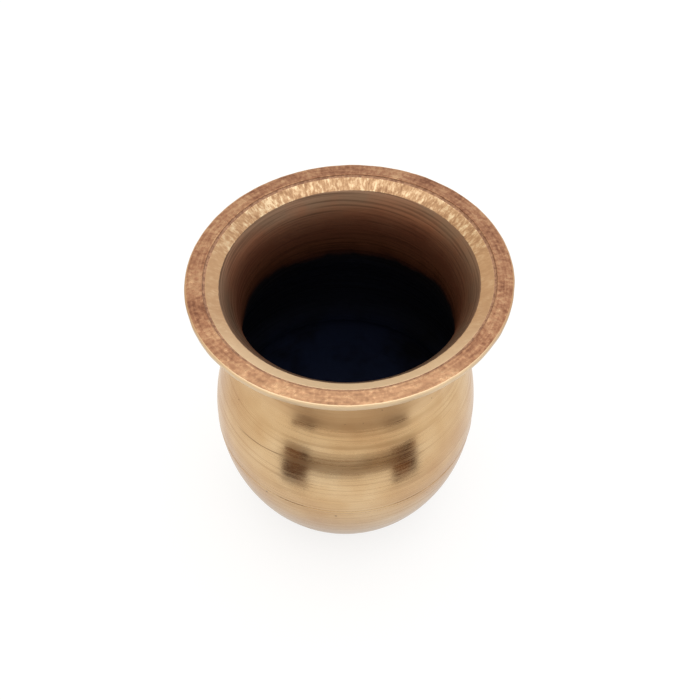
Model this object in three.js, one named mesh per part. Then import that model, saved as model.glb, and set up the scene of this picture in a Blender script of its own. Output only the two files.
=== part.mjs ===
import * as THREE from 'three';

// A small copper lota: a round water pot with a full belly, a short neck and a wide flared mouth.
// Millimetres, +Z up, with the origin at the middle of the base on the surface it stands on.

// Overall
const totalHeight = 91;
const wall = 1.2;

// Belly, the widest part of a tall ellipsoid
const bellyRadius = 37.3;
const bellyHeight = 36.6;
const bellyHalfHeight = 47;

// Base, a flat resting ring round a shallow dish
const baseRadius = 21;
const baseCornerHeight = 2.4;
const restingWidth = 4;
const dishRise = 1.6;

// Belly seam: the upper half is stepped inwards and slips into the bowl
const lapHeight = 5;
const lapClearance = 0.3;
const stepHeight = 3;
const seamGrooveDepth = 0.6;
const seamGrooveHeight = 0.6;
const seamBeadHeight = 0.12;

// Neck
const shoulderHeight = 62;
const neckRadius = 28.9;
const neckHeight = 75;

// Mouth: outer ring, groove and bevelled band, measured inwards from the rim
const rimRadius = 40;
const ringWidth = 4.25;
const ringThickness = 1.7;
const ringEdgeRound = 0.45;
const ringCover = 0.9;
const seatWidth = 1.55;
const seatClearance = 0.3;
const grooveWidth = 0.6;
const grooveFillHeight = 0.25;
const bandLip = 0.4;
const bandWidth = 3.05;
const bandRise = 1.9;

// Fullness of the curves, as shares of the span that each one crosses
const shoulderPull = 0.32;
const neckPull = 0.38;
const flareRise = 0.52;
const flareTurn = 0.31;
const flareTop = 0.85;
const throatTurn = 0.43;

// Smoothness
const roundSegments = 60;
const bellySteps = 8;
const curveSteps = 8;
const cornerSteps = 3;

// Places that several pieces share
const seamHeight = bellyHeight;
const ringInnerRadius = rimRadius - ringWidth;
const ringBottom = totalHeight - ringThickness;
const ledgeHeight = totalHeight - ringCover;
const flangeRadius = ringInnerRadius + seatWidth;
const bandOuterRadius = ringInnerRadius - grooveWidth;
const bandOuterHeight = ledgeHeight + bandLip;
const bandInnerRadius = bandOuterRadius - bandWidth;
const bandInnerHeight = bandOuterHeight - bandRise;

const point = (radius, height) => new THREE.Vector2(radius, height);

function ellipsoidRadius(height) {
  const share = (height - bellyHeight) / bellyHalfHeight;
  return bellyRadius * Math.sqrt(Math.max(0, 1 - share * share));
}

// How fast the ellipsoid's radius grows with height
function ellipsoidSlope(height) {
  const ratio = bellyRadius / bellyHalfHeight;
  return -ratio * ratio * (height - bellyHeight) / ellipsoidRadius(height);
}

function ellipsoidPoints(fromHeight, toHeight, steps) {
  const points = [];
  for (let i = 0; i <= steps; i += 1) {
    const height = fromHeight + (toHeight - fromHeight) * i / steps;
    points.push(point(ellipsoidRadius(height), height));
  }
  return points;
}

// Moves a line of points sideways by a distance, to the left of its direction of travel
function offsetLine(points, distance) {
  return points.map((here, i) => {
    const before = points[Math.max(0, i - 1)];
    const after = points[Math.min(points.length - 1, i + 1)];
    const along = after.clone().sub(before).normalize();
    return point(Math.max(0, here.x - along.y * distance), here.y + along.x * distance);
  });
}

// Turns a closed outline about the pot's axis; the outline runs up its outer side
function turned(name, outline, color, roughness, metalness) {
  const geometry = new THREE.LatheGeometry(outline, roundSegments);
  const material = new THREE.MeshStandardMaterial({ color, roughness, metalness });
  const mesh = new THREE.Mesh(geometry, material);
  mesh.name = name;
  return mesh;
}

// The base: a dish that rises to the middle, then the flat ring, then a rounded corner
function dishPoints() {
  const dishRadius = baseRadius - restingWidth;
  const dish = new THREE.QuadraticBezierCurve(
    point(0, dishRise), point(dishRadius / 2, dishRise), point(dishRadius, 0));
  return dish.getPoints(curveSteps / 2);
}

function baseCornerPoints() {
  const edge = ellipsoidRadius(baseCornerHeight);
  const tangentMeets = edge - ellipsoidSlope(baseCornerHeight) * baseCornerHeight;
  const corner = new THREE.QuadraticBezierCurve(
    point(baseRadius, 0), point(tangentMeets, 0), point(edge, baseCornerHeight));
  return corner.getPoints(cornerSteps);
}

function lowerBowl() {
  const seamEdge = seamHeight - seamGrooveHeight;
  const belly = ellipsoidPoints(baseCornerHeight, seamEdge, bellySteps);
  const outside = [...dishPoints(), ...baseCornerPoints(), ...belly.slice(1)];
  const inside = offsetLine(outside, wall);
  const floorMiddle = inside[0];
  floorMiddle.x = 0;
  const innerEdge = point(bellyRadius - wall, seamHeight);
  const grooveBottom = point(bellyRadius - seamGrooveDepth, seamHeight);
  return [...outside, grooveBottom, innerEdge, ...inside.reverse()];
}

// The step that slips into the bowl stays one clearance inside the bowl's wall
function lapRadius(height) {
  return ellipsoidRadius(height) - wall - lapClearance;
}

function shoulderPoints() {
  const start = point(ellipsoidRadius(shoulderHeight), shoulderHeight);
  const end = point(neckRadius, neckHeight);
  const span = neckHeight - shoulderHeight;
  const slope = ellipsoidSlope(shoulderHeight);
  const leave = point(start.x + slope * span * shoulderPull, start.y + span * shoulderPull);
  const arrive = point(neckRadius, neckHeight - span * neckPull);
  return new THREE.CubicBezierCurve(start, leave, arrive, end).getPoints(curveSteps);
}

// One side of the flare, from upright at the neck to nearly flat at the mouth
function flarePoints(startRadius, endRadius, endHeight, turn, steps) {
  const rise = endHeight - neckHeight;
  const leave = point(startRadius, neckHeight + rise * flareRise);
  const arrive = point(
    startRadius + (endRadius - startRadius) * turn, neckHeight + rise * flareTop);
  const curve = new THREE.CubicBezierCurve(
    point(startRadius, neckHeight), leave, arrive, point(endRadius, endHeight));
  return curve.getPoints(steps);
}

function upperBody() {
  const lapBottom = seamHeight - lapHeight;
  const lapOuter = [point(lapRadius(lapBottom), lapBottom), point(lapRadius(seamHeight), seamHeight)];
  const lapInner = lapOuter.map((p) => point(p.x - wall, p.y));
  const grooveBottom = point(bellyRadius - seamGrooveDepth, seamHeight);
  const belly = ellipsoidPoints(seamHeight + seamGrooveHeight, shoulderHeight, bellySteps);
  const underFlare = flarePoints(neckRadius, flangeRadius, ringBottom, flareTurn, curveSteps);
  const outside = [...belly, ...shoulderPoints().slice(1), ...underFlare.slice(1)];
  const mouth = [
    point(flangeRadius, ledgeHeight),
    point(bandOuterRadius, ledgeHeight),
    point(bandOuterRadius, bandOuterHeight)];
  const throat = flarePoints(
    neckRadius - wall, bandInnerRadius, bandInnerHeight, throatTurn, curveSteps).reverse();
  const aboveStep = ellipsoidPoints(seamHeight + stepHeight, shoulderHeight, bellySteps);
  const inside = offsetLine([...aboveStep, ...shoulderPoints().slice(1, -1)], wall).reverse();
  const outline = [
    ...lapOuter, grooveBottom, ...outside, ...mouth, ...throat, ...inside,
    lapInner[1], lapInner[0]];
  return [...outline, outline[0].clone()];
}

// A flat strip with rounded outer edges, notched underneath where it sits on the flange
function rimRing() {
  const notchRadius = flangeRadius + seatClearance;
  const round = (startAngle, height) => {
    const points = [];
    for (let i = 0; i <= cornerSteps; i += 1) {
      const angle = startAngle + (Math.PI / 2) * i / cornerSteps;
      points.push(point(
        rimRadius - ringEdgeRound + ringEdgeRound * Math.cos(angle),
        height + ringEdgeRound * Math.sin(angle)));
    }
    return points;
  };
  const outline = [
    point(ringInnerRadius, ledgeHeight),
    point(notchRadius, ledgeHeight),
    point(notchRadius, ringBottom),
    ...round(-Math.PI / 2, ringBottom + ringEdgeRound),
    ...round(0, totalHeight - ringEdgeRound),
    point(ringInnerRadius, totalHeight)];
  return [...outline, outline[0].clone()];
}

// Filler lies in the outside groove of the belly seam and stands a little proud
function bellyBraze() {
  const bottom = seamHeight - seamGrooveHeight;
  const top = seamHeight + seamGrooveHeight;
  const outline = [
    point(bellyRadius - seamGrooveDepth, seamHeight),
    point(ellipsoidRadius(bottom), bottom),
    point(bellyRadius + seamBeadHeight, seamHeight),
    point(ellipsoidRadius(top), top)];
  return [...outline, outline[0].clone()];
}

// Filler lies on the ledge between the bevelled band and the ring, below both of them
function rimBraze() {
  const outline = [
    point(bandOuterRadius, ledgeHeight),
    point(ringInnerRadius, ledgeHeight),
    point(ringInnerRadius, ledgeHeight + grooveFillHeight),
    point(bandOuterRadius, ledgeHeight + grooveFillHeight)];
  return [...outline, outline[0].clone()];
}

const lota = new THREE.Group();
lota.rotation.x = Math.PI / 2;
lota.add(turned('lower_bowl', lowerBowl(), 0xc99a72, 0.25, 1));
lota.add(turned('upper_body', upperBody(), 0xcf9f74, 0.25, 1));
lota.add(turned('rim_ring', rimRing(), 0xb07f5e, 0.4, 1));
lota.add(turned('belly_braze', bellyBraze(), 0xc49a6a, 0.35, 1));
lota.add(turned('rim_braze', rimBraze(), 0x7d5540, 0.5, 1));

export default lota;
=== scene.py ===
import math
import bmesh
import bpy
from mathutils import Matrix, Vector, noise
from mathutils.geometry import interpolate_bezier


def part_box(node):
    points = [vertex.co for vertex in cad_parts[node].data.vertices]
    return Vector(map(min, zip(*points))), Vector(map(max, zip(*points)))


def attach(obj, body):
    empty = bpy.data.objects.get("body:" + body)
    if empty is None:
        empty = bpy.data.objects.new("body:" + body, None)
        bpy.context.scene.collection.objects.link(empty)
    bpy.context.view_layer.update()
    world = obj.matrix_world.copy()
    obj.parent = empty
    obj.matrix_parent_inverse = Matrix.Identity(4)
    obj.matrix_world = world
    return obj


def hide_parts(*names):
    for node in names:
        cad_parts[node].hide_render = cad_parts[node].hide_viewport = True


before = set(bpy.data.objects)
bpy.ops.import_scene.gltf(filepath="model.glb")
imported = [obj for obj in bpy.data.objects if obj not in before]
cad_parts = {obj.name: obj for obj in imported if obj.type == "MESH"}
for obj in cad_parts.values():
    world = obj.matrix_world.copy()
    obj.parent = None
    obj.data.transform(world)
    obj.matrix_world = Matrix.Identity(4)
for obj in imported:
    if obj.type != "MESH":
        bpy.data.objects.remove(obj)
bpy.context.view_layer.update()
print("frame loaded:", ", ".join(sorted(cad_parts)))

mm = 0.001
scene = bpy.context.scene
scene.view_settings.view_transform = "Standard"


def smoothStep(value, low, high):
    share = min(1.0, max(0.0, (value - low) / (high - low)))
    return share * share * (3 - 2 * share)


def linear(hexColour):
    # sRGB hex, such as "d9b990", to linear red, green, blue and alpha
    parts = [int(hexColour[i:i + 2], 16) / 255 for i in (0, 2, 4)]
    bent = [p / 12.92 if p <= 0.04045 else ((p + 0.055) / 1.055) ** 2.4 for p in parts]
    return (*bent, 1.0)


def addNode(tree, kind, settings=(), links=()):
    # a link comes from a socket, or from a node's first output
    node = tree.nodes.new("ShaderNode" + kind)
    for name, value in dict(settings).items():
        if name == "stops":
            ramp = node.color_ramp.elements
            for element, (place, colour) in ((ramp[0], value[0]), (ramp[-1], value[-1])):
                element.position = place
                element.color = linear(colour)
            for place, colour in value[1:-1]:
                ramp.new(place).color = linear(colour)
        elif isinstance(name, int) or name in node.inputs:
            node.inputs[name].default_value = value
        else:
            setattr(node, name, value)
    for name, source in dict(links).items():
        socket = source if isinstance(source, bpy.types.NodeSocket) else source.outputs[0]
        tree.links.new(socket, node.inputs[name])
    return node


# Camera: fitted to the photograph's rim, groove and belly outline
cameraValues = {
    "imageSide": 700,          # pixels
    "sensorWidth": 36.0,       # mm
    "focalPixels": 817.9,
    "rimPixel": (346.2, 270.6),  # where the middle of the rim's top plane lies in the image
    "distance": 200.0,         # mm from the middle of the rim
    "elevation": 46.43,        # degrees
    "roll": -0.4,              # degrees
}

ringLow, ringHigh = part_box("rim_ring")
rimCentre = Vector((0, 0, ringHigh.z))


def makeCamera(values):
    rise = math.radians(values["elevation"])
    back = Vector((0, -math.cos(rise), math.sin(rise)))
    place = rimCentre + back * values["distance"] * mm
    right = Vector((1, 0, 0))
    forward = -back
    up = right.cross(forward)
    half = values["imageSide"] / 2
    aimX = (values["rimPixel"][0] - half) / values["focalPixels"]
    aimY = (half - values["rimPixel"][1]) / values["focalPixels"]
    aim = Vector((0, 0, 1)).rotation_difference(Vector((aimX, aimY, 1))).to_matrix()
    roll = Matrix.Rotation(math.radians(values["roll"]), 3, "Z")
    axes = aim @ roll @ Matrix((right, up, forward))
    turn = Matrix((axes[0], axes[1], -axes[2])).transposed()
    data = bpy.data.cameras.new("camera")
    data.sensor_width = values["sensorWidth"]
    data.lens = values["focalPixels"] * values["sensorWidth"] / values["imageSide"]
    data.clip_start = 0.01
    data.clip_end = 20.0
    camera = bpy.data.objects.new("camera", data)
    scene.collection.objects.link(camera)
    camera.matrix_world = Matrix.Translation(place) @ turn.to_4x4()
    scene.camera = camera


makeCamera(cameraValues)
print("camera placed")

# The pot's shape, in mm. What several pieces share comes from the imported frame.
fillLow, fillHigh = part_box("rim_braze")
bowlLow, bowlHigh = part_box("lower_bowl")
shape = {
    "bellyRadius": 37.3,
    "bellyHalfHeight": 47.0,
    "wall": 1.2,
    "neckRadius": 28.9,
    "neckHeight": 75.0,
    "shoulderHeight": 62.0,
    "seamHeight": bowlHigh.z / mm,
    "rimRadius": ringHigh.x / mm,
    "rimTop": ringHigh.z / mm,
    "ringBottom": ringLow.z / mm,
    "ringInner": fillHigh.x / mm,
    "ledgeHeight": fillLow.z / mm,
    "grooveWidth": 0.6,
    "seamGroove": 0.6,         # both how deep and how high each chamfer of the belly seam is
    "bandLip": 0.4,
    "bandWidth": 3.05,
    "bandRise": 1.9,
    "flangeWidth": 1.55,
    "flangeClearance": 0.3,
    "lapHeight": 5.0,
    "lapClearance": 0.3,
    "lapStep": 3.0,
}
bandOuter = shape["ringInner"] - shape["grooveWidth"]
bandInner = bandOuter - shape["bandWidth"]
bandTop = shape["ledgeHeight"] + shape["bandLip"]
bandBottom = bandTop - shape["bandRise"]
flangeRadius = shape["ringInner"] + shape["flangeWidth"]

# How the pot departs from a true turned shape, as hand-held spinning and brazing leave it
handValues = {
    "aroundSteps": 540,        # faces round the pot
    "sectors": 12,
    "mouthOval": 0.0155,       # share of the radius, longest towards 45 degrees
    "ovalFrom": 62.0,          # mm above the base, where the oval starts
    "mouthShift": 1.0,         # mm, the mouth sits off the belly's axis
    "weld": 0.002,             # mm
    "sharpAngle": 40.0,        # degrees, edges past this get a small round
}


def at(radius, height):
    return Vector((radius, 0, height))


def bellyRadius(height):
    share = (height - shape["seamHeight"]) / shape["bellyHalfHeight"]
    return shape["bellyRadius"] * math.sqrt(1 - share * share)


def bellySlope(height):
    ratio = shape["bellyRadius"] / shape["bellyHalfHeight"]
    return -ratio * ratio * (height - shape["seamHeight"]) / bellyRadius(height)


def bellyLine(low, high, step):
    count = max(2, round((high - low) / step))
    heights = [low + (high - low) * i / count for i in range(count + 1)]
    return [at(bellyRadius(height), height) for height in heights]


def roundCorner(start, corner, end, steps):
    # a curve that leaves start and reaches end along the lines to corner
    leave = start.lerp(corner, 2 / 3)
    arrive = end.lerp(corner, 2 / 3)
    return interpolate_bezier(start, leave, arrive, end, steps)


def sideways(line, distance):
    # to the left of the line's direction of travel
    moved = []
    for i, here in enumerate(line):
        along = (line[min(i + 1, len(line) - 1)] - line[max(i - 1, 0)]).normalized()
        moved.append(at(max(0.0, here.x - along.z * distance), here.z + along.x * distance))
    return moved


def ridged(line, depth, spacing):
    # faint rings that the spinning roller leaves, real relief of a few hundredths of a millimetre
    moved = [line[0]]
    travelled = 0.0
    for before, here, after in zip(line, line[1:], line[2:]):
        travelled += (here - before).length
        along = (after - before).normalized()
        lift = depth * noise.noise(Vector((3.7, 1.3, travelled / spacing)))
        moved.append(at(here.x - along.z * lift, here.z + along.x * lift))
    return [*moved, line[-1]]


def spinLine(bm, line, materialIndex):
    # one sector is spun and then copied round, much quicker than one full spin of so many steps
    counts = len(bm.verts), len(bm.edges), len(bm.faces)
    sectors = handValues["sectors"]
    verts = [bm.verts.new(p * mm) for p in line]
    edges = [bm.edges.new(pair) for pair in zip(verts, verts[1:])]
    bmesh.ops.spin(
        bm, geom=verts + edges, cent=(0, 0, 0), axis=(0, 0, 1), angle=math.tau / sectors,
        steps=handValues["aroundSteps"] // sectors, use_merge=False, use_duplicate=False)
    sector = []
    for sequence, count in zip((bm.verts, bm.edges, bm.faces), counts):
        sequence.ensure_lookup_table()
        sector.extend(sequence[count:])
    for number in range(1, sectors):
        copied = bmesh.ops.duplicate(bm, geom=sector)["geom"]
        corners = [part for part in copied if isinstance(part, bmesh.types.BMVert)]
        turn = Matrix.Rotation(math.tau * number / sectors, 3, "Z")
        bmesh.ops.rotate(bm, verts=corners, cent=(0, 0, 0), matrix=turn)
    bm.faces.ensure_lookup_table()
    for face in bm.faces[counts[2]:]:
        face.material_index = materialIndex


def handMade(co):
    height = co.z / mm
    angle = math.atan2(co.y, co.x)
    share = smoothStep(height, handValues["ovalFrom"], shape["ringBottom"])
    stretch = 1 + handValues["mouthOval"] * share * math.cos(2 * angle - math.pi / 2)
    shift = handValues["mouthShift"] * mm * smoothStep(height, shape["seamHeight"], shape["rimTop"])
    return Vector((co.x * stretch + shift, co.y * stretch, co.z))


def aroundNoise(co, marks, radial=0.0):
    # noise that repeats smoothly round the pot, with about that many marks in a full turn
    flat = Vector((co.x, co.y, 0))
    turn = flat.normalized() * marks / math.tau
    turn.z = flat.length / mm * radial
    return noise.noise(turn)


def finishPiece(bm, name, node, materials, edgeRound, moveVertex):
    bmesh.ops.remove_doubles(bm, verts=bm.verts, dist=handValues["weld"] * mm)
    bmesh.ops.recalc_face_normals(bm, faces=bm.faces)
    limit = math.radians(handValues["sharpAngle"])
    sharp = [edge for edge in bm.edges if edge.calc_face_angle(0) > limit]
    bmesh.ops.bevel(
        bm, geom=sharp, offset=edgeRound * mm, offset_type="OFFSET", segments=2,
        profile=0.5, affect="EDGES", clamp_overlap=True, material=-1)
    for vert in bm.verts:
        vert.co = handMade(moveVertex(vert.co))
    mesh = bpy.data.meshes.new(name)
    bm.to_mesh(mesh)
    bm.free()
    mesh.shade_smooth()
    mesh.set_sharp_from_angle(angle=limit)
    for material in materials:
        mesh.materials.append(material)
    piece = bpy.data.objects.new(name, mesh)
    scene.collection.objects.link(piece)
    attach(piece, "root")
    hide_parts(node)
    print(name, "made,", len(mesh.polygons), "faces")


def newMaterial(name, values):
    material = bpy.data.materials.new(name)
    material.use_nodes = True
    shader = material.node_tree.nodes["Principled BSDF"]
    shader.inputs["Metallic"].default_value = values["metallic"]
    return material, material.node_tree, shader


def turningPlaces(tree):
    # places on the turned surface: the point in mm, its distance from the axis,
    # its direction round the axis, and a length that runs on along the whole profile
    place = addNode(tree, "TexCoord")
    inMm = addNode(tree, "VectorMath", {"operation": "SCALE", "Scale": 1 / mm},
                   {0: place.outputs["Object"]})
    flat = addNode(tree, "VectorMath", {"operation": "MULTIPLY", 1: (1, 1, 0)}, {0: inMm})
    radius = addNode(tree, "VectorMath", {"operation": "LENGTH"}, {0: flat})
    around = addNode(tree, "VectorMath", {"operation": "NORMALIZE"}, {0: flat})
    split = addNode(tree, "SeparateXYZ", {}, {0: inMm})
    along = addNode(tree, "Math", {"operation": "MULTIPLY_ADD", 1: 0.8},
                    {0: radius.outputs["Value"], 2: split.outputs["Z"]})
    return {"point": inMm, "flat": flat, "radius": radius.outputs["Value"], "around": around,
            "x": split.outputs["X"], "y": split.outputs["Y"], "z": split.outputs["Z"], "along": along}


def ringStreaks(tree, places, spacing, length):
    # noise drawn out round the pot: spacing across the streaks and length along them, in mm
    slow = addNode(tree, "VectorMath", {"operation": "SCALE", "Scale": 1 / length}, {0: places["flat"]})
    fine = addNode(tree, "Math", {"operation": "DIVIDE", 1: spacing}, {0: places["along"]})
    lift = addNode(tree, "CombineXYZ", {}, {"Z": fine})
    both = addNode(tree, "VectorMath", {"operation": "ADD"}, {0: slow, 1: lift})
    return addNode(tree, "TexNoise", {"Scale": 1.0, "Detail": 4.0, "Roughness": 0.6}, {0: both})


def chatterMarks(tree, places, marks, radial):
    # noise drawn out along the radius: marks in a full turn, and how fast it changes per mm outwards
    turn = addNode(tree, "VectorMath", {"operation": "SCALE", "Scale": marks / math.tau},
                   {0: places["around"]})
    outwards = addNode(tree, "Math", {"operation": "MULTIPLY", 1: radial}, {0: places["radius"]})
    lift = addNode(tree, "CombineXYZ", {}, {"Z": outwards})
    both = addNode(tree, "VectorMath", {"operation": "ADD"}, {0: turn, 1: lift})
    return addNode(tree, "TexNoise", {"Scale": 1.0, "Detail": 3.0, "Roughness": 0.55}, {0: both})


softStep = {"interpolation_type": "SMOOTHSTEP"}
spots = {"Detail": 3.0, "Roughness": 0.55}


def tinted(tree, colour, tint, most, *limits):
    # a tint over the colour: most of it where each place is at its first limit, none past its second
    share = None
    for place, fullAt, goneAt in limits:
        part = addNode(tree, "MapRange", {**softStep, 1: fullAt, 2: goneAt, 3: 1.0, 4: 0.0}, {0: place})
        if share is None:
            part.inputs[3].default_value = most
            share = part
        else:
            share = addNode(tree, "Math", {"operation": "MULTIPLY"}, {0: share, 1: part})
    mix = addNode(tree, "Mix", {"data_type": "RGBA", 7: linear(tint)}, {0: share, 6: colour})
    return mix.outputs[2]


def setRelief(tree, shader, *layers):
    # each layer is a pattern and its depth in mm, and lies over the one before
    under = None
    for pattern, depth in layers:
        bump = addNode(tree, "Bump", {"Strength": 1.0, "Distance": depth * mm}, {"Height": pattern})
        if under is not None:
            tree.links.new(under.outputs[0], bump.inputs["Normal"])
        under = bump
    tree.links.new(under.outputs[0], shader.inputs["Normal"])


# Spun and hand-polished bare copper: a satin, tan-gold mirror with fine rings round the pot,
# soft patches of tarnish, a few pits and one thin scratch, and painted shade that darkens the lower belly
spunValues = {
    "metallic": 1.0,
    "tarnish": "bf976a", "copper": "cdaa7d", "bright": "d9bb91",
    "patchSize": 26.0,         # mm
    "streakDark": "a57b4e", "streakShare": 0.25,
    "streakSpacing": 0.7,      # mm, coarser than the real 0.2 mm so that it shows
    "streakLength": 45.0,      # mm
    "streakDepth": 0.01,       # mm
    # painted shade: the belly's colour turns darker brown towards the base
    "paintedShadeTint": "8f6e49", "paintedShadeShare": 0.85, "paintedShadeLow": 4.0, "paintedShadeTop": 46.0,   # mm above the base
    "smoothest": 0.2, "roughest": 0.34,
    "neckLow": 64.0, "neckTop": 71.0,   # mm above the base, where the polishing cloth reaches less
    "neckRougher": 0.22,
    "waveSize": 9.0, "waveDepth": 0.15,   # mm
    "pit": "6a4930",
    "pitSize": 1.6,            # mm between places where a pit may lie
    "scratchRise": 0.161, "scratchHeight": 57.2, "scratchWidth": 0.22,  # a straight line, seen along Y
    "scratchLeft": -29.5, "scratchRight": -14.0, "scratchFade": 4.0,
    "scratchShare": 0.8,
}


def spunCopper(values):
    material, tree, shader = newMaterial("spunCopper", values)
    places = turningPlaces(tree)
    patches = addNode(tree, "TexNoise", {**spots, "Scale": 1 / values["patchSize"]},
                      {0: places["point"]})
    colour = addNode(tree, "ValToRGB", {"stops": [
        (0.34, values["tarnish"]), (0.52, values["copper"]), (0.68, values["bright"])]}, {0: patches})
    streaks = ringStreaks(tree, places, values["streakSpacing"], values["streakLength"])
    colour = tinted(tree, colour, values["streakDark"], values["streakShare"], (streaks, 0.32, 0.48))
    # painted shade: darker towards the base
    colour = tinted(tree, colour, values["paintedShadeTint"], values["paintedShadeShare"],
                    (places["z"], values["paintedShadeLow"], values["paintedShadeTop"]))
    pits = addNode(tree, "TexNoise", {**spots, "Detail": 1.0, "Scale": 1 / values["pitSize"]},
                   {0: places["point"]})
    colour = tinted(tree, colour, values["pit"], 1.0, (pits, 0.18, 0.23))
    line = addNode(tree, "Math", {"operation": "MULTIPLY_ADD", 1: values["scratchRise"],
                                  2: values["scratchHeight"]}, {0: places["x"]})
    apart = addNode(tree, "Math", {"operation": "SUBTRACT"}, {0: places["z"], 1: line})
    apart = addNode(tree, "Math", {"operation": "ABSOLUTE"}, {0: apart})
    left = values["scratchLeft"]
    right = values["scratchRight"]
    fade = values["scratchFade"]
    colour = tinted(tree, colour, values["pit"], values["scratchShare"],
                    (apart, 0.0, values["scratchWidth"]), (places["x"], left + fade, left),
                    (places["x"], right - fade, right), (places["y"], -1.0, 0.0))
    tree.links.new(colour, shader.inputs["Base Color"])
    rough = addNode(tree, "MapRange", {**softStep, 1: 0.3, 2: 0.7, 3: values["roughest"],
                                       4: values["smoothest"]}, {0: streaks})
    rougher = addNode(tree, "MapRange", {**softStep, 1: values["neckLow"], 2: values["neckTop"],
                                         3: 0.0, 4: values["neckRougher"]}, {0: places["z"]})
    rough = addNode(tree, "Math", {"operation": "ADD"}, {0: rough, 1: rougher})
    tree.links.new(rough.outputs[0], shader.inputs["Roughness"])
    waves = addNode(tree, "TexNoise", {**spots, "Detail": 1.0, "Scale": 1 / values["waveSize"]},
                    {0: places["point"]})
    setRelief(tree, shader, (waves, values["waveDepth"]), (streaks, values["streakDepth"]))
    return material


# Freshly turned copper on the bevelled band: pale and bright, with chatter marks along the radius.
# Its torn grain scatters much of the light, so it isn't fully metallic to the eye.
bandMaterialValues = {
    "metallic": 0.4,
    "bright": "ead0a8", "middle": "bf976f", "dull": "9c7350",
    # painted highlight: the band's front, and the filed lip that shares this material, are coloured paler
    "paintedFrontLight": "f4d9b1", "paintedFrontShare": 0.8, "paintedFrontFrom": -10.0, "paintedFrontTo": -34.0,   # mm towards the back
    "marks": 150.0, "fineMarks": 420.0, "fineShare": 0.45,   # marks in a full turn
    "marksFrom": 2.0, "marksTo": 18.0, "marksLeft": 0.2,   # mm towards the back, and their share in front
    "marksEdge": 37.0,         # mm from the axis, past which the filed lip has none
    "ringSpacing": 0.5, "ringLength": 30.0,   # mm
    "smoothest": 0.24, "roughest": 0.42,
    "markDepth": 0.035, "ringDepth": 0.012,   # mm
}


def turnedBand(values):
    material, tree, shader = newMaterial("turnedBand", values)
    places = turningPlaces(tree)
    marks = chatterMarks(tree, places, values["marks"], 0.5)
    fineMarks = chatterMarks(tree, places, values["fineMarks"], 0.9)
    marks = addNode(tree, "Mix", {0: values["fineShare"]}, {2: marks, 3: fineMarks})
    share = addNode(tree, "MapRange", {**softStep, 1: values["marksFrom"], 2: values["marksTo"],
                                       3: values["marksLeft"], 4: 1.0}, {0: places["y"]})
    edge = values["marksEdge"]
    inside = addNode(tree, "MapRange", {**softStep, 1: edge, 2: edge + 1, 3: 1.0, 4: 0.0},
                     {0: places["radius"]})
    share = addNode(tree, "Math", {"operation": "MULTIPLY"}, {0: share, 1: inside})
    marks = addNode(tree, "Mix", {2: 0.5}, {0: share, 3: marks})
    colour = addNode(tree, "ValToRGB", {"stops": [
        (0.36, values["dull"]), (0.5, values["middle"]), (0.62, values["bright"])]}, {0: marks})
    # painted highlight: paler towards the front
    colour = tinted(tree, colour, values["paintedFrontLight"], values["paintedFrontShare"],
                    (places["y"], values["paintedFrontTo"], values["paintedFrontFrom"]))
    tree.links.new(colour, shader.inputs["Base Color"])
    rough = addNode(tree, "MapRange", {**softStep, 1: 0.35, 2: 0.65, 3: values["roughest"],
                                       4: values["smoothest"]}, {0: marks})
    tree.links.new(rough.outputs[0], shader.inputs["Roughness"])
    rings = ringStreaks(tree, places, values["ringSpacing"], values["ringLength"])
    setRelief(tree, shader, (rings, values["ringDepth"]), (marks, values["markDepth"]))
    return material


# Rough-turned copper of the outer ring: reddish brown, mottled, with short torn marks and dull film
ringMaterialValues = {
    "metallic": 0.7,
    "dark": "7a4e38", "brown": "a67758", "light": "cda37c",
    # painted highlight: the ring's front is coloured lighter
    "paintedFrontLight": "e6bf93", "paintedFrontShare": 0.25, "paintedFrontFrom": -20.0, "paintedFrontTo": -40.0,   # mm towards the back
    "mottleSize": 1.2, "patchSize": 9.0,   # mm
    "marks": 260.0,            # in a full turn
    "ringSpacing": 0.45, "ringLength": 9.0,   # mm
    "smoothest": 0.26, "roughest": 0.5,
    "markDepth": 0.05, "mottleDepth": 0.06,   # mm
}


def turnedRing(values):
    material, tree, shader = newMaterial("turnedRing", values)
    places = turningPlaces(tree)
    mottle = addNode(tree, "TexNoise", {**spots, "Detail": 4.0, "Scale": 1 / values["mottleSize"]},
                     {0: places["point"]})
    patches = addNode(tree, "TexNoise", {**spots, "Scale": 1 / values["patchSize"]},
                      {0: places["point"]})
    marks = chatterMarks(tree, places, values["marks"], 0.8)
    rings = ringStreaks(tree, places, values["ringSpacing"], values["ringLength"])
    blend = addNode(tree, "Mix", {0: 0.5}, {2: mottle, 3: rings})
    blend = addNode(tree, "Mix", {0: 0.35}, {2: blend, 3: marks})
    blend = addNode(tree, "Mix", {0: 0.3}, {2: blend, 3: patches})
    colour = addNode(tree, "ValToRGB", {"stops": [
        (0.39, values["dark"]), (0.5, values["brown"]), (0.61, values["light"])]}, {0: blend})
    # painted highlight: lighter towards the front
    colour = tinted(tree, colour, values["paintedFrontLight"], values["paintedFrontShare"],
                    (places["y"], values["paintedFrontTo"], values["paintedFrontFrom"]))
    tree.links.new(colour, shader.inputs["Base Color"])
    rough = addNode(tree, "MapRange", {**softStep, 1: 0.4, 2: 0.6, 3: values["roughest"],
                                       4: values["smoothest"]}, {0: blend})
    tree.links.new(rough.outputs[0], shader.inputs["Roughness"])
    setRelief(tree, shader, (mottle, values["mottleDepth"]), (marks, values["markDepth"]))
    return material


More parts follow.
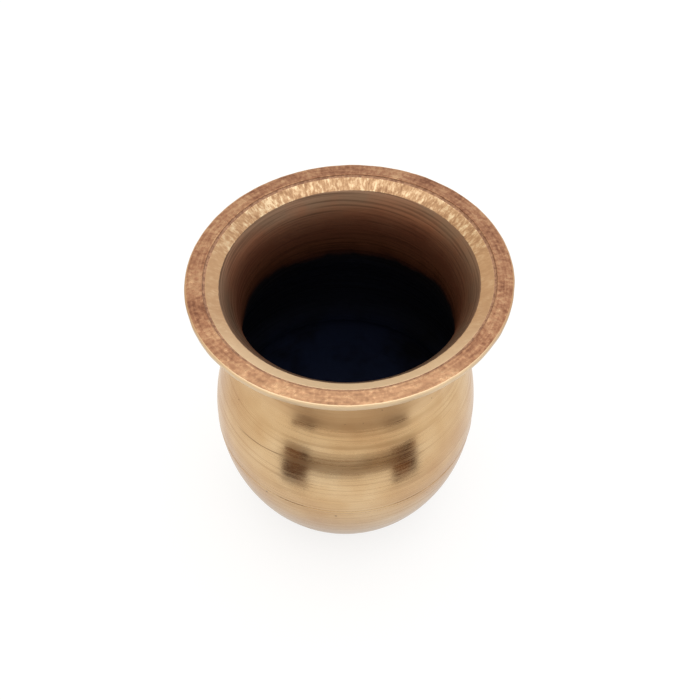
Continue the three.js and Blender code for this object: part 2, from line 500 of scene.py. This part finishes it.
# Fire-scaled copper inside: brown oxide at the mouth that turns black with a blue bloom lower down; the
# black below the throat is partly dark oxide and partly painted shade of the pot's deep inside
scaleValues = {
    "metallic": 0.7,
    # by height: brown oxide near the mouth; the near-black below the throat is dark oxide together with
    # painted shade of the deep inside
    "byHeight": [(60.0, "29292f"), (69.0, "262222"), (71.5, "693d28"), (75.0, "814f36"),
                 (80.0, "84523c"), (84.0, "93664d"), (88.0, "866a55")],   # mm above the base
    "edgeWander": 2.0,         # mm up and down
    "blueBloom": "3b4562",
    "bloomSize": 16.0, "bloomLow": 21.0, "bloomTop": 46.0,   # mm
    "streakShade": "4a3020", "streakShare": 0.45,
    "streakSpacing": 0.8, "streakLength": 30.0,   # mm
    "smoothest": 0.32, "roughest": 0.55,
    "streakDepth": 0.03,       # mm
}


def fireScaledCopper(values):
    material, tree, shader = newMaterial("fireScaledCopper", values)
    places = turningPlaces(tree)
    heights = values["byHeight"]
    low = heights[0][0]
    high = heights[-1][0]
    wander = values["edgeWander"]
    cloud = addNode(tree, "TexNoise", {**spots, "Scale": 1 / values["bloomSize"]}, {0: places["point"]})
    uneven = addNode(tree, "MapRange", {**softStep, 1: 0.3, 2: 0.7, 3: -wander, 4: wander}, {0: cloud})
    lifted = addNode(tree, "Math", {"operation": "ADD"}, {0: places["z"], 1: uneven})
    share = addNode(tree, "MapRange", {1: low, 2: high}, {0: lifted})
    # partly painted shade: near black below the throat, brown above
    colour = addNode(tree, "ValToRGB", {"stops": [
        ((height - low) / (high - low), tone) for height, tone in heights]}, {0: share})
    streaks = ringStreaks(tree, places, values["streakSpacing"], values["streakLength"])
    dark = addNode(tree, "MapRange", {**softStep, 1: 0.35, 2: 0.55, 3: values["streakShare"], 4: 0.0},
                   {0: streaks})
    shaded = addNode(tree, "Mix", {"data_type": "RGBA", "blend_type": "MULTIPLY",
                                   7: linear(values["streakShade"])}, {0: dark, 6: colour})
    colour = tinted(tree, shaded.outputs[2], values["blueBloom"], 1.0, (cloud, 0.6, 0.25),
                    (places["z"], values["bloomLow"], values["bloomTop"]))
    tree.links.new(colour, shader.inputs["Base Color"])
    shader.inputs["Specular IOR Level"].default_value = 0.2
    rough = addNode(tree, "MapRange", {**softStep, 1: 0.3, 2: 0.7, 3: values["roughest"],
                                       4: values["smoothest"]}, {0: streaks})
    tree.links.new(rough.outputs[0], shader.inputs["Roughness"])
    setRelief(tree, shader, (streaks, values["streakDepth"]))
    return material


# Brazing filler in the rim's groove: dull brown and grainy, with flux stain
fillerValues = {
    "metallic": 0.5,
    "dark": "8d664f", "light": "b98f71",
    "grain": 0.9,              # mm
    "rough": 0.6, "grainDepth": 0.05,   # mm
}


def brazeFiller(values):
    material, tree, shader = newMaterial("brazeFiller", values)
    places = turningPlaces(tree)
    grain = addNode(tree, "TexNoise", {**spots, "Detail": 4.0, "Scale": 1 / values["grain"]},
                    {0: places["point"]})
    colour = addNode(tree, "ValToRGB", {"stops": [
        (0.38, values["dark"]), (0.62, values["light"])]}, {0: grain})
    tree.links.new(colour.outputs[0], shader.inputs["Base Color"])
    shader.inputs["Roughness"].default_value = values["rough"]
    setRelief(tree, shader, (grain, values["grainDepth"]))
    return material


spun = spunCopper(spunValues)
band = turnedBand(bandMaterialValues)
ring = turnedRing(ringMaterialValues)
scaled = fireScaledCopper(scaleValues)
filler = brazeFiller(fillerValues)
print("materials made")

# Lower bowl: dished base, flat resting ring, rounded corner and the lower belly
bowlValues = {
    "dishRise": 1.6, "baseRadius": 21.0, "restingWidth": 4.0, "cornerHeight": 2.4,   # mm
    "profileStep": 0.7, "ridgeDepth": 0.015, "ridgeSpacing": 1.6,   # mm
    "innerStep": 2.0,
    "dishSteps": 16, "cornerSteps": 8,
    "edgeRound": 0.06,
    "scuffDepth": 0.05, "scuffMarks": 40.0,   # mm, and marks in a full turn, where the base has rubbed
}


def makeLowerBowl(values):
    dishRadius = values["baseRadius"] - values["restingWidth"]
    dish = roundCorner(at(0, values["dishRise"]), at(dishRadius / 2, values["dishRise"]),
                       at(dishRadius, 0), values["dishSteps"])
    cornerTop = values["cornerHeight"]
    cornerEdge = at(bellyRadius(cornerTop), cornerTop)
    meets = at(cornerEdge.x - bellySlope(cornerTop) * cornerTop, 0)
    corner = roundCorner(at(values["baseRadius"], 0), meets, cornerEdge, values["cornerSteps"])
    seam = shape["seamHeight"]
    edge = seam - shape["seamGroove"]
    belly = ridged(bellyLine(cornerTop, edge, values["profileStep"]),
                   values["ridgeDepth"], values["ridgeSpacing"])
    outside = [*dish, *corner, *belly[1:]]
    smooth = [*dish[::4], dish[-1], *corner[::3], *bellyLine(cornerTop, edge, values["innerStep"])]
    inside = sideways(smooth, shape["wall"])
    inside[0] = at(0, values["dishRise"] + shape["wall"])
    innerEdge = at(shape["bellyRadius"] - shape["wall"], seam)
    grooveBottom = at(shape["bellyRadius"] - shape["seamGroove"], seam)
    bm = bmesh.new()
    spinLine(bm, outside, 0)
    spinLine(bm, [outside[-1], grooveBottom, innerEdge], 0)
    spinLine(bm, [innerEdge, *reversed(inside)], 1)

    def scuffed(co):
        height = co.z / mm
        radius = math.hypot(co.x, co.y) / mm
        if height > 0.5 or radius < dishRadius + 0.5:
            return co
        lift = abs(aroundNoise(co, values["scuffMarks"], 0.6)) * values["scuffDepth"]
        return Vector((co.x, co.y, co.z + lift * mm))

    finishPiece(bm, "spunLowerBowl", "lower_bowl", [spun, scaled],
                values["edgeRound"], scuffed)


makeLowerBowl(bowlValues)

# Upper body: shoulder, neck, flare, bevelled band and ledge, and the lap that slips into the bowl
upperValues = {
    "shoulderPull": 0.32, "neckPull": 0.38,
    "flareRise": 0.52, "flareTurn": 0.31, "flareTop": 0.85, "throatTurn": 0.43,
    "profileStep": 0.7, "ridgeDepth": 0.015, "ridgeSpacing": 1.6,   # mm
    "innerStep": 2.0,
    "shoulderSteps": 20, "innerShoulderSteps": 14, "flareSteps": 28,
    "bandPoints": 10,
    "edgeRound": 0.06,
    "chatterDepth": 0.03, "chatterMarks": 170.0,   # mm, and marks in a full turn
    "serration": 0.08, "serrationMarks": 190.0,    # mm, uneven inner edge of the band
}


def flareLine(values, startRadius, endRadius, endHeight, turn, steps):
    rise = endHeight - shape["neckHeight"]
    start = at(startRadius, shape["neckHeight"])
    leave = at(startRadius, shape["neckHeight"] + rise * values["flareRise"])
    arrive = at(startRadius + (endRadius - startRadius) * turn,
                shape["neckHeight"] + rise * values["flareTop"])
    return interpolate_bezier(start, leave, arrive, at(endRadius, endHeight), steps)


def shoulderLine(values, steps):
    low = shape["shoulderHeight"]
    span = shape["neckHeight"] - low
    start = at(bellyRadius(low), low)
    pull = span * values["shoulderPull"]
    leave = at(start.x + bellySlope(low) * pull, low + pull)
    arrive = at(shape["neckRadius"], shape["neckHeight"] - span * values["neckPull"])
    return interpolate_bezier(start, leave, arrive, at(shape["neckRadius"], shape["neckHeight"]), steps)


def makeUpperBody(values):
    seam = shape["seamHeight"]
    wall = shape["wall"]
    edge = seam + shape["seamGroove"]
    belly = bellyLine(edge, shape["shoulderHeight"], values["profileStep"])
    shoulder = shoulderLine(values, values["shoulderSteps"])
    under = flareLine(values, shape["neckRadius"], flangeRadius, shape["ringBottom"],
                      values["flareTurn"], values["flareSteps"])
    outside = ridged([*belly, *shoulder[1:], *under[1:]], values["ridgeDepth"], values["ridgeSpacing"])
    ledge = [outside[-1], at(flangeRadius, shape["ledgeHeight"]), at(bandOuter, shape["ledgeHeight"])]
    outerLip = at(bandOuter, bandTop)
    innerLip = at(bandInner, bandBottom)
    count = values["bandPoints"]
    bandLine = [ledge[-1], *(outerLip.lerp(innerLip, i / count) for i in range(count + 1))]
    throat = flareLine(values, shape["neckRadius"] - wall, bandInner, bandBottom,
                       values["throatTurn"], values["flareSteps"])
    smooth = [*bellyLine(seam + shape["lapStep"], shape["shoulderHeight"], values["innerStep"]),
              *shoulderLine(values, values["innerShoulderSteps"])[1:-1]]
    lapBottom = seam - shape["lapHeight"]
    lapSpare = wall + shape["lapClearance"]
    lapOuter = [at(bellyRadius(z) - lapSpare, z) for z in (lapBottom, seam)]
    lapInner = [at(p.x - wall, p.z) for p in lapOuter]
    inside = [*reversed(throat), *reversed(sideways(smooth, wall)), lapInner[1], lapInner[0]]
    grooveBottom = at(shape["bellyRadius"] - shape["seamGroove"], seam)
    bm = bmesh.new()
    spinLine(bm, outside, 0)
    spinLine(bm, ledge, 0)
    spinLine(bm, bandLine, 1)
    spinLine(bm, inside, 2)
    spinLine(bm, [lapInner[0], *lapOuter, grooveBottom, outside[0]], 0)

    def chattered(co):
        radius = math.hypot(co.x, co.y) / mm
        if radius > bandOuter - 0.05 or radius < bandInner - 0.02 or co.z / mm < bandBottom - 0.02:
            return co
        lift = aroundNoise(co, values["chatterMarks"], 0.35) * values["chatterDepth"] * mm
        moved = Vector((co.x, co.y, co.z + lift))
        if radius < bandInner + 0.02:
            slide = aroundNoise(co, values["serrationMarks"]) * values["serration"]
            stretch = 1 + slide / radius
            drop = slide * shape["bandRise"] / shape["bandWidth"]
            moved = Vector((co.x * stretch, co.y * stretch, moved.z + drop * mm))
        return moved

    finishPiece(bm, "spunUpperBody", "upper_body", [spun, band, scaled],
                values["edgeRound"], chattered)


makeUpperBody(upperValues)

# Rim ring: flat strip with filed outer edges, notched underneath for the flange
ringValues = {
    "edgeRound": 0.12,
    "outerRound": 0.45, "outerSteps": 6,   # mm, and steps in each quarter turn
    "topPoints": 12,
    "roughDepth": 0.05, "roughMarks": 230.0,   # mm, and marks in a full turn
    "edgeWander": 0.12, "wanderMarks": 60.0,   # mm, filed by eye
}


def makeRimRing(values):
    top = shape["rimTop"]
    bottom = shape["ringBottom"]
    inner = shape["ringInner"]
    notch = flangeRadius + shape["flangeClearance"]
    roundness = values["outerRound"]
    centre = shape["rimRadius"] - roundness
    quarter = [math.pi / 2 * i / values["outerSteps"] for i in range(values["outerSteps"] + 1)]
    lowRound = [at(centre + roundness * math.sin(a), bottom + roundness * (1 - math.cos(a)))
                for a in quarter]
    highRound = [at(centre + roundness * math.cos(a), top - roundness * (1 - math.sin(a)))
                 for a in quarter]
    count = values["topPoints"]
    topLine = [highRound[-1].lerp(at(inner, top), i / count) for i in range(1, count + 1)]
    start = at(inner, shape["ledgeHeight"])
    bm = bmesh.new()
    spinLine(bm, [start, at(notch, shape["ledgeHeight"]), at(notch, bottom), lowRound[0]], 0)
    spinLine(bm, [*lowRound, *highRound], 1)
    spinLine(bm, [highRound[-1], *topLine, start.copy()], 0)

    def filed(co):
        radius = math.hypot(co.x, co.y) / mm
        if co.z / mm < bottom + 0.1:
            return co
        outwards = smoothStep(radius, centre - 0.3, shape["rimRadius"])
        wander = aroundNoise(co, values["wanderMarks"], 0.2) * values["edgeWander"] * outwards
        stretch = 1 + (wander - values["edgeWander"] * 0.3 * outwards) / radius
        onTop = smoothStep(co.z / mm, top - 0.3, top)
        lift = aroundNoise(co, values["roughMarks"], 1.1) * values["roughDepth"] * onTop * mm
        return Vector((co.x * stretch, co.y * stretch, co.z + lift))

    finishPiece(bm, "turnedRimRing", "rim_ring", [ring, band],
                values["edgeRound"], filed)


makeRimRing(ringValues)

# Brazing filler of the belly seam: a bead filed nearly flush
beadValues = {
    "proud": 0.08,             # mm
    "proudPoints": 4,
    "edgeRound": 0.02,
    "wander": 0.05, "wanderMarks": 90.0,   # mm, and marks in a full turn
}


def makeBellyBead(values):
    seam = shape["seamHeight"]
    half = shape["seamGroove"]
    low = at(bellyRadius(seam - half), seam - half)
    high = at(bellyRadius(seam + half), seam + half)
    crown = at(shape["bellyRadius"] + values["proud"] * 2, seam)
    root = at(shape["bellyRadius"] - half, seam)
    face = roundCorner(low, crown, high, values["proudPoints"] + 1)
    bm = bmesh.new()
    spinLine(bm, [root, *face, root.copy()], 0)

    def uneven(co):
        outwards = smoothStep(math.hypot(co.x, co.y) / mm, low.x, low.x + values["proud"])
        stretch = 1 + aroundNoise(co, values["wanderMarks"]) * values["wander"] * outwards / low.x
        return Vector((co.x * stretch, co.y * stretch, co.z))

    finishPiece(bm, "bellySeamBead", "belly_braze", [spun], values["edgeRound"], uneven)


makeBellyBead(beadValues)

# Brazing filler in the rim's groove, sunk between the band and the ring
fillValues = {
    "belowRing": 0.22, "belowBand": 0.06, "sag": 0.16,   # mm, a hollow fillet
    "points": 7,
    "edgeRound": 0.02,
    "wander": 0.08, "wanderMarks": 160.0,   # mm, and marks in a full turn
}


def makeRimFill(values):
    low = shape["ledgeHeight"]
    outer = at(shape["ringInner"], shape["rimTop"] - values["belowRing"])
    inner = at(bandOuter, bandTop - values["belowBand"])
    middle = outer.lerp(inner, 0.5) - Vector((0, 0, values["sag"] * 2))
    surface = roundCorner(outer, middle, inner, values["points"])
    high = fillHigh.z / mm
    start = at(bandOuter, low)
    bm = bmesh.new()
    spinLine(bm, [start, at(shape["ringInner"], low), *surface, start.copy()], 0)

    def lumpy(co):
        if co.z / mm < high - 0.05:
            return co
        lift = aroundNoise(co, values["wanderMarks"], 1.5) * values["wander"]
        return Vector((co.x, co.y, co.z + lift * mm))

    finishPiece(bm, "rimGrooveFill", "rim_braze", [filler], values["edgeRound"], lumpy)


makeRimFill(fillValues)

# Stage: a pale floor, a soft white room, one light panel overhead, and dark cards in front that
# only the metal sees, as the room behind the camera
stageValues = {
    "floorHalf": 4.0,          # m
    "floorColour": "8b8b8b",
    "floorGlow": 0.78,         # seen by the camera and by the metal, so that the floor is white
    "roomLight": "f8f7f5", "roomLeft": "e9dfcd", "roomFront": "e0dad0",
    "panelX": 0.36, "panelFront": -0.30, "panelBack": 0.38, "panelHeight": 0.70,   # m
    "panelColour": "fffcf9", "panelLight": 2.0,
    "cardRadius": 62.0,        # mm from the pot's axis
    # where the belly mirrors each card: from and to x, then from and to y, in pixels of the image
    "cardBand": (306, 393, 459, 476),
    "cardEnds": ((281, 308, 443, 483), (391, 417, 441, 478)),
    "bandDark": "6a5646", "bandLight": "957b62",
    "endDark": "46322a", "endLight": "85634c",
    "cardMottle": 0.007,       # m
}


def stageObject(name, bm, material):
    mesh = bpy.data.meshes.new(name)
    bm.to_mesh(mesh)
    bm.free()
    mesh.materials.append(material)
    thing = bpy.data.objects.new(name, mesh)
    scene.collection.objects.link(thing)
    return thing


def glowing(name, dark, light, mottleSize, strength):
    # a glow that changes from dark to light in spots of that size, in metres
    material = bpy.data.materials.new(name)
    material.use_nodes = True
    tree = material.node_tree
    tree.nodes.remove(tree.nodes["Principled BSDF"])
    place = addNode(tree, "TexCoord")
    mottle = addNode(tree, "TexNoise", {"Scale": 1 / mottleSize, "Detail": 2.0},
                     {0: place.outputs["Object"]})
    colour = addNode(tree, "ValToRGB", {"stops": [(0.42, dark), (0.62, light)]}, {0: mottle})
    glow = addNode(tree, "Emission", {"Strength": strength}, {"Color": colour})
    tree.links.new(glow.outputs[0], tree.nodes["Material Output"].inputs["Surface"])
    return material


def makeFloor(values):
    material = bpy.data.materials.new("paleFloor")
    material.use_nodes = True
    tree = material.node_tree
    shader = tree.nodes["Principled BSDF"]
    shader.inputs["Base Color"].default_value = linear(values["floorColour"])
    shader.inputs["Roughness"].default_value = 0.9
    shader.inputs["Specular IOR Level"].default_value = 0.1
    shader.inputs["Emission Color"].default_value = (1.0, 1.0, 1.0, 1.0)
    path = addNode(tree, "LightPath")
    seen = path.outputs["Is Camera Ray"]
    for name in ("Is Glossy Ray", "Is Transmission Ray"):
        seen = addNode(tree, "Math", {"operation": "MAXIMUM"}, {0: seen, 1: path.outputs[name]})
    glow = addNode(tree, "Math", {"operation": "MULTIPLY", 1: values["floorGlow"]}, {0: seen})
    tree.links.new(glow.outputs[0], shader.inputs["Emission Strength"])
    bm = bmesh.new()
    bmesh.ops.create_grid(bm, x_segments=1, y_segments=1, size=values["floorHalf"])
    stageObject("floor", bm, material)


def makePanel(values):
    bm = bmesh.new()
    bmesh.ops.create_grid(bm, x_segments=1, y_segments=1, size=1.0)
    depth = values["panelBack"] - values["panelFront"]
    middle = (values["panelBack"] + values["panelFront"]) / 2
    bmesh.ops.scale(bm, vec=(values["panelX"], depth / 2, 1), verts=bm.verts)
    bmesh.ops.translate(bm, vec=(0, middle, values["panelHeight"]), verts=bm.verts)
    bmesh.ops.reverse_faces(bm, faces=bm.faces)
    glow = glowing("panelGlow", values["panelColour"], values["panelColour"], 1.0, values["panelLight"])
    panel = stageObject("lightPanel", bm, glow)
    panel.visible_camera = False


def mirroredPlace(pixel, radius):
    # what the belly mirrors at that pixel, on a cylinder round the pot: degrees from the front, and mm up
    half = cameraValues["imageSide"] / 2
    focal = cameraValues["focalPixels"]
    seen = Vector(((pixel[0] - half) / focal, (half - pixel[1]) / focal, -1))
    sight = scene.camera.matrix_world.to_3x3() @ seen
    eye = scene.camera.matrix_world.translation / mm
    middle = Vector((0, 0, shape["seamHeight"]))
    squash = Matrix.Diagonal((1 / shape["bellyRadius"], 1 / shape["bellyRadius"],
                              1 / shape["bellyHalfHeight"]))
    start = squash @ (eye - middle)
    toward = squash @ sight
    a = toward.length_squared
    b = start.dot(toward)
    struck = eye + sight * (-b - math.sqrt(b * b - a * (start.length_squared - 1))) / a
    normal = (squash @ squash @ (struck - middle)).normalized()
    out = sight - normal * sight.dot(normal) * 2
    flat = out.xy.length_squared
    b = struck.xy.dot(out.xy)
    root = math.sqrt(b * b + flat * (radius * radius - struck.xy.length_squared))
    place = struck + out * (root - b) / flat
    return math.degrees(math.atan2(place.x, -place.y)), place.z


def makeCard(name, radius, patch, material):
    left, right, top, bottom = patch
    fromAngle = mirroredPlace((left, (top + bottom) / 2), radius)[0]
    toAngle = mirroredPlace((right, (top + bottom) / 2), radius)[0]
    low = max(1.0, mirroredPlace(((left + right) / 2, bottom), radius)[1])
    high = mirroredPlace(((left + right) / 2, top), radius)[1]
    print(name, "from", round(fromAngle), "to", round(toAngle), "degrees,", round(low), "to",
          round(high), "mm up")
    start = math.radians(fromAngle - 90)
    bm = bmesh.new()
    verts = []
    for height in (low, high):
        place = Vector((radius * math.cos(start), radius * math.sin(start), height))
        verts.append(bm.verts.new(place * mm))
    edge = bm.edges.new(verts)
    bmesh.ops.spin(bm, geom=[*verts, edge], cent=(0, 0, 0), axis=(0, 0, 1),
                   angle=math.radians(toAngle - fromAngle), steps=24, use_duplicate=False)
    card = stageObject(name, bm, material)
    card.visible_camera = False
    card.visible_diffuse = False
    card.visible_transmission = False
    card.visible_shadow = False


def makeRoom(values):
    world = bpy.data.worlds.new("softRoom")
    scene.world = world
    world.use_nodes = True
    tree = world.node_tree
    direction = addNode(tree, "TexCoord")
    split = addNode(tree, "SeparateXYZ", {}, {0: direction.outputs["Generated"]})
    light = addNode(tree, "RGB")
    light.outputs[0].default_value = linear(values["roomLight"])
    light = tinted(tree, light, values["roomLeft"], 1.0, (split.outputs["X"], -0.9, 0.2))
    light = tinted(tree, light, values["roomFront"], 1.0, (split.outputs["Y"], -0.95, -0.45))
    tree.links.new(light, tree.nodes["Background"].inputs["Color"])


makeFloor(stageValues)
makePanel(stageValues)
makeRoom(stageValues)
mottle = stageValues["cardMottle"]
bandGlow = glowing("cardMiddle", stageValues["bandDark"], stageValues["bandLight"], mottle, 1.0)
endGlow = glowing("cardEnd", stageValues["endDark"], stageValues["endLight"], mottle, 1.0)
makeCard("frontCard", stageValues["cardRadius"], stageValues["cardBand"], bandGlow)
for number, patch in enumerate(stageValues["cardEnds"]):
    makeCard(f"endCard{number + 1}", stageValues["cardRadius"], patch, endGlow)
print("stage made")
